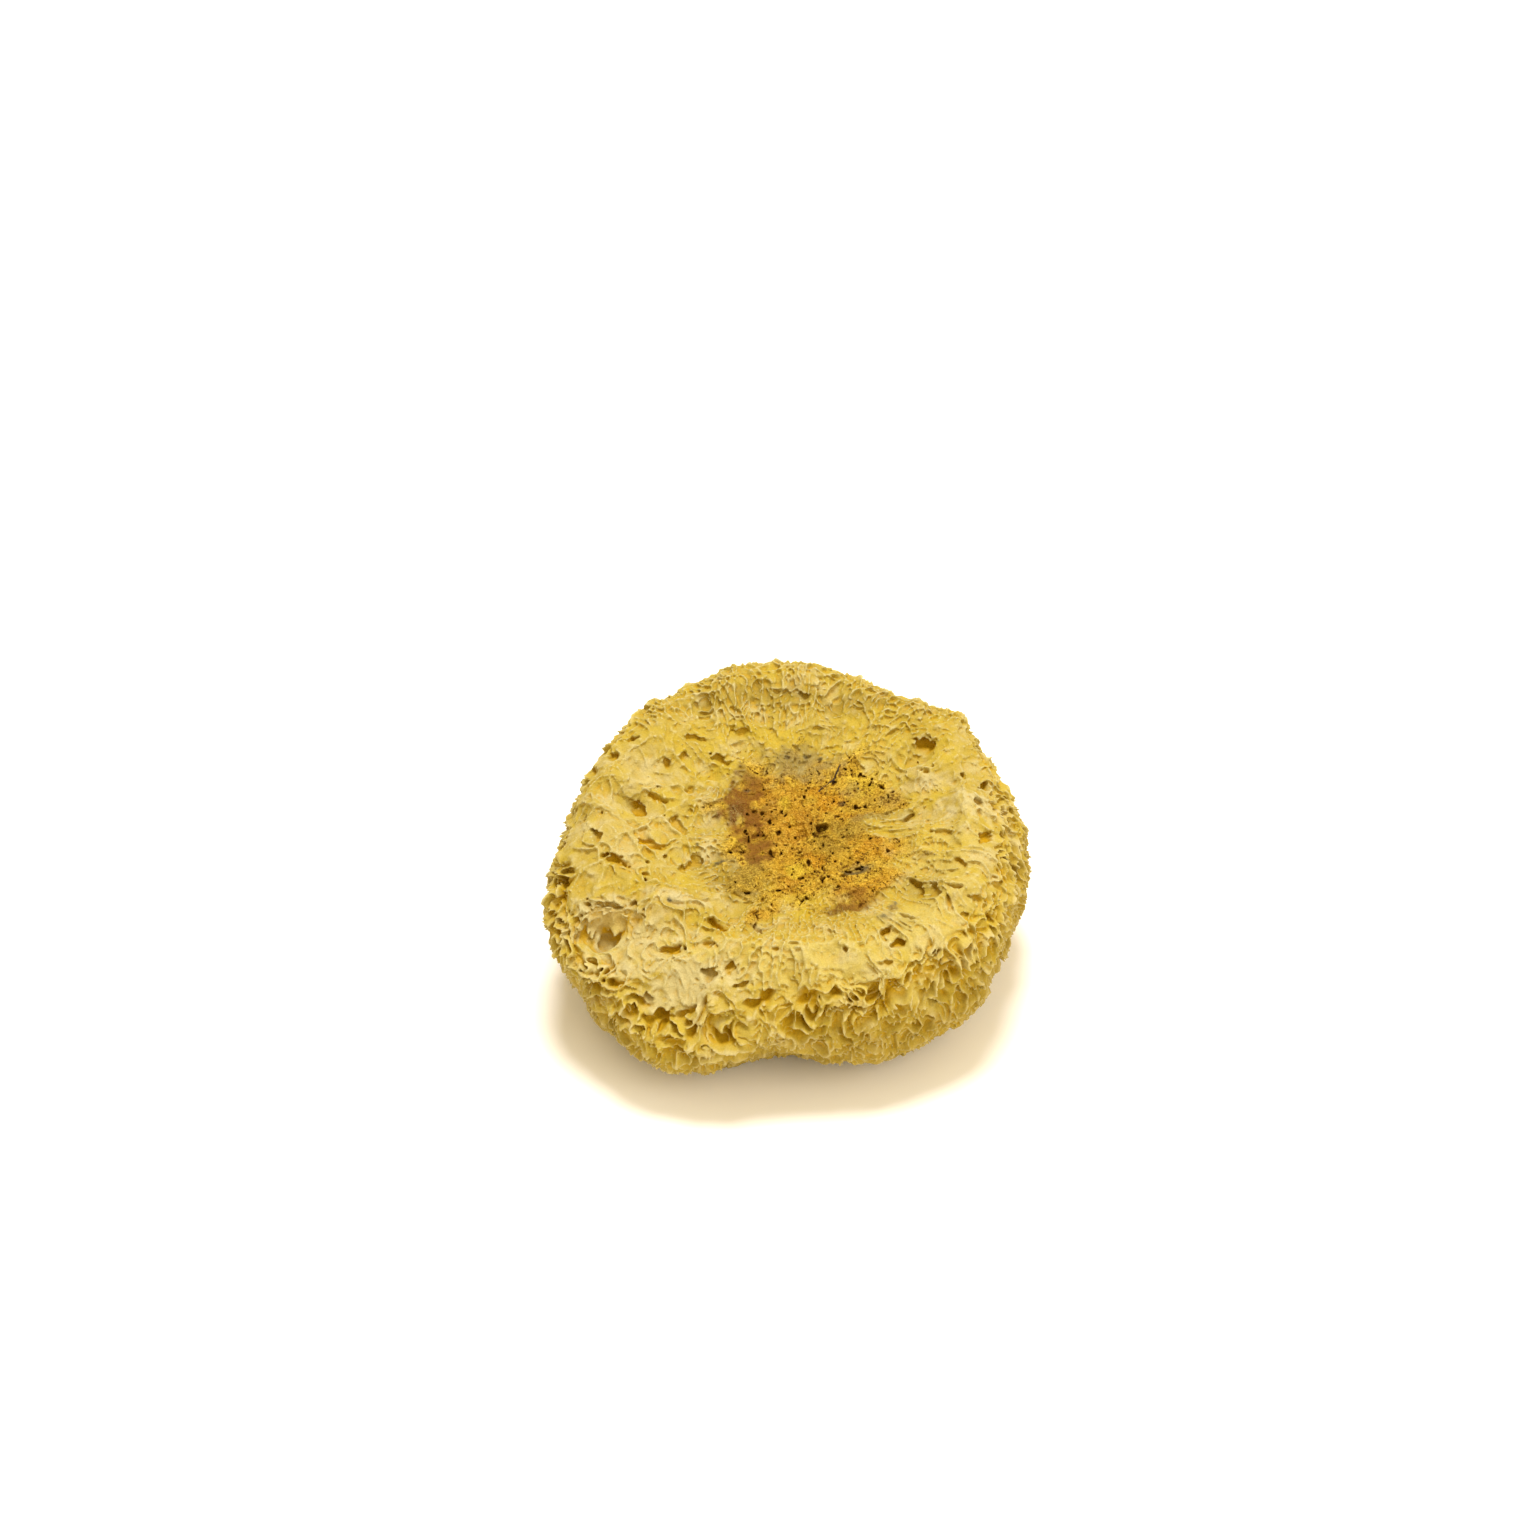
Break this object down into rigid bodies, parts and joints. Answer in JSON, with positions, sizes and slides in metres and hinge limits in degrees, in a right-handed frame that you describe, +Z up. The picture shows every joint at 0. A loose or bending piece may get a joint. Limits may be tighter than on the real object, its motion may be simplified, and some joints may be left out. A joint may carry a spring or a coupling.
{
  "type": "snow fungus",
  "caption": "Whole dried snow fungus head lying on its frilled dome, with the dished, cut brown base facing up and leaning forwards.",
  "frame": {"origin": "on the surface that the head rests on, below the middle of its box", "axes": "+Z up, +X to the right and -Y towards the viewer; the cut face leans towards -Y by 12 degrees"},
  "size_m": [0.0994, 0.1002, 0.0491],
  "materials": {
    "dried_fungus": "dry, satin, cream yellow frills and folds with amber hollows, orange brown at the cut base"
  },
  "bodies": {
    "root": {"snow_fungus": "dried_fungus"}
  },
  "joints": []
}
